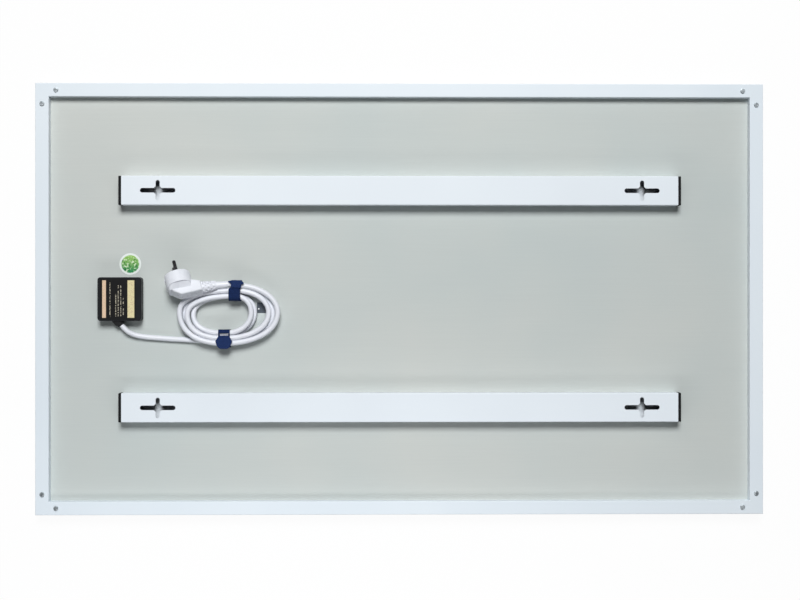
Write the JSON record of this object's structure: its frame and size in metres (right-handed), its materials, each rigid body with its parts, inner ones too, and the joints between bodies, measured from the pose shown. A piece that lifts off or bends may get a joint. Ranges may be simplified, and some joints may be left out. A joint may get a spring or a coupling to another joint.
{
  "type": "infrared panel heater",
  "caption": "Flat infrared panel heater seen from its back: framed heating panel, two keyhole wall rails, junction box, and a mains cord coiled and tied with its plug.",
  "frame": {"origin": "centre of the panel, on the plane of the front lips it rests on", "axes": "+X along the long side, +Y up the short side, +Z the outward normal of the back"},
  "size_m": [1.005, 0.595, 0.0554],
  "materials": {
    "frame_white": "smooth satin white powder coat on aluminium profile",
    "front_white": "fine-textured matt white radiating enamel",
    "plate_grey": "flat light grey-beige coil coating, faintly mottled",
    "rail_white": "satin white powder coat",
    "cap_black": "moulded matt black",
    "box_black": "moulded dark grey-black, fine texture",
    "label_dark": "satin black film label with two plain pale-gold bars, no print",
    "screw_zinc": "zinc-plated steel",
    "film_black": "carbon-printed polyester film",
    "busbar_copper": "bright copper strip",
    "foil_aluminium": "bright rolled foil",
    "board_fibre": "pressed mineral-fibre board",
    "rubber_black": "matt black rubber",
    "terminal_nylon": "natural nylon",
    "terminal_brass": "turned brass",
    "cutout_black": "moulded black",
    "cord_white": "soft white cord sheath, slight sheen",
    "plug_white": "satin white moulded plug",
    "pin_nickel": "nickel-plated brass, lightly tarnished",
    "wire_brown": "brown wire insulation",
    "wire_blue": "blue wire insulation",
    "wire_earth": "green and yellow wire insulation",
    "strap_blue": "dark blue hook-and-loop strap, woven edges",
    "sticker_green": "gloss green sticker with a white rim, plain",
    "label_silver": "metallised film label, grey over silver, plain"
  },
  "bodies": {
    "root": {"back_plate": "plate_grey", "box_fixing_screws": "screw_zinc", "cord_clamp": "terminal_nylon", "cord_clamp_screws": "screw_zinc", "cord_coil": "cord_white", "cord_gland": "rubber_black", "cord_lead": "cord_white", "cord_tail": "cord_white", "cord_tie_bottom": "strap_blue", "cord_tie_top": "strap_blue", "core_earth": "wire_earth", "core_live": "wire_brown", "core_neutral": "wire_blue", "corner_key_bottom_left": "screw_zinc", "corner_key_bottom_right": "screw_zinc", "corner_key_top_left": "screw_zinc", "corner_key_top_right": "screw_zinc", "corner_screws": "screw_zinc", "earth_stud": "screw_zinc", "film_busbars": "busbar_copper", "frame_bottom": "frame_white", "frame_left": "frame_white", "frame_right": "frame_white", "frame_top": "frame_white", "front_plate": "front_white", "heating_film": "film_black", "insulation_board": "board_fibre", "junction_box_base": "box_black", "junction_box_lid": "box_black", "plug_body": "plug_white", "plug_bridge": "cutout_black", "plug_earth_clips": "pin_nickel", "plug_pins": "pin_nickel", "plug_strain_relief": "cord_white", "rail_bottom": "rail_white", "rail_cap_bottom_left": "cap_black", "rail_cap_bottom_right": "cap_black", "rail_cap_top_left": "cap_black", "rail_cap_top_right": "cap_black", "rail_rivets": "screw_zinc", "rail_top": "rail_white", "rating_label": "label_dark", "reflector_foil": "foil_aluminium", "round_sticker": "sticker_green", "small_label": "label_silver", "terminal_block": "terminal_nylon", "terminal_inserts": "terminal_brass", "terminal_screws": "screw_zinc", "thermal_cutout": "cutout_black", "wire_earth": "wire_earth", "wire_grommet": "rubber_black", "wire_live": "wire_brown", "wire_neutral": "wire_blue"}
  },
  "joints": []
}
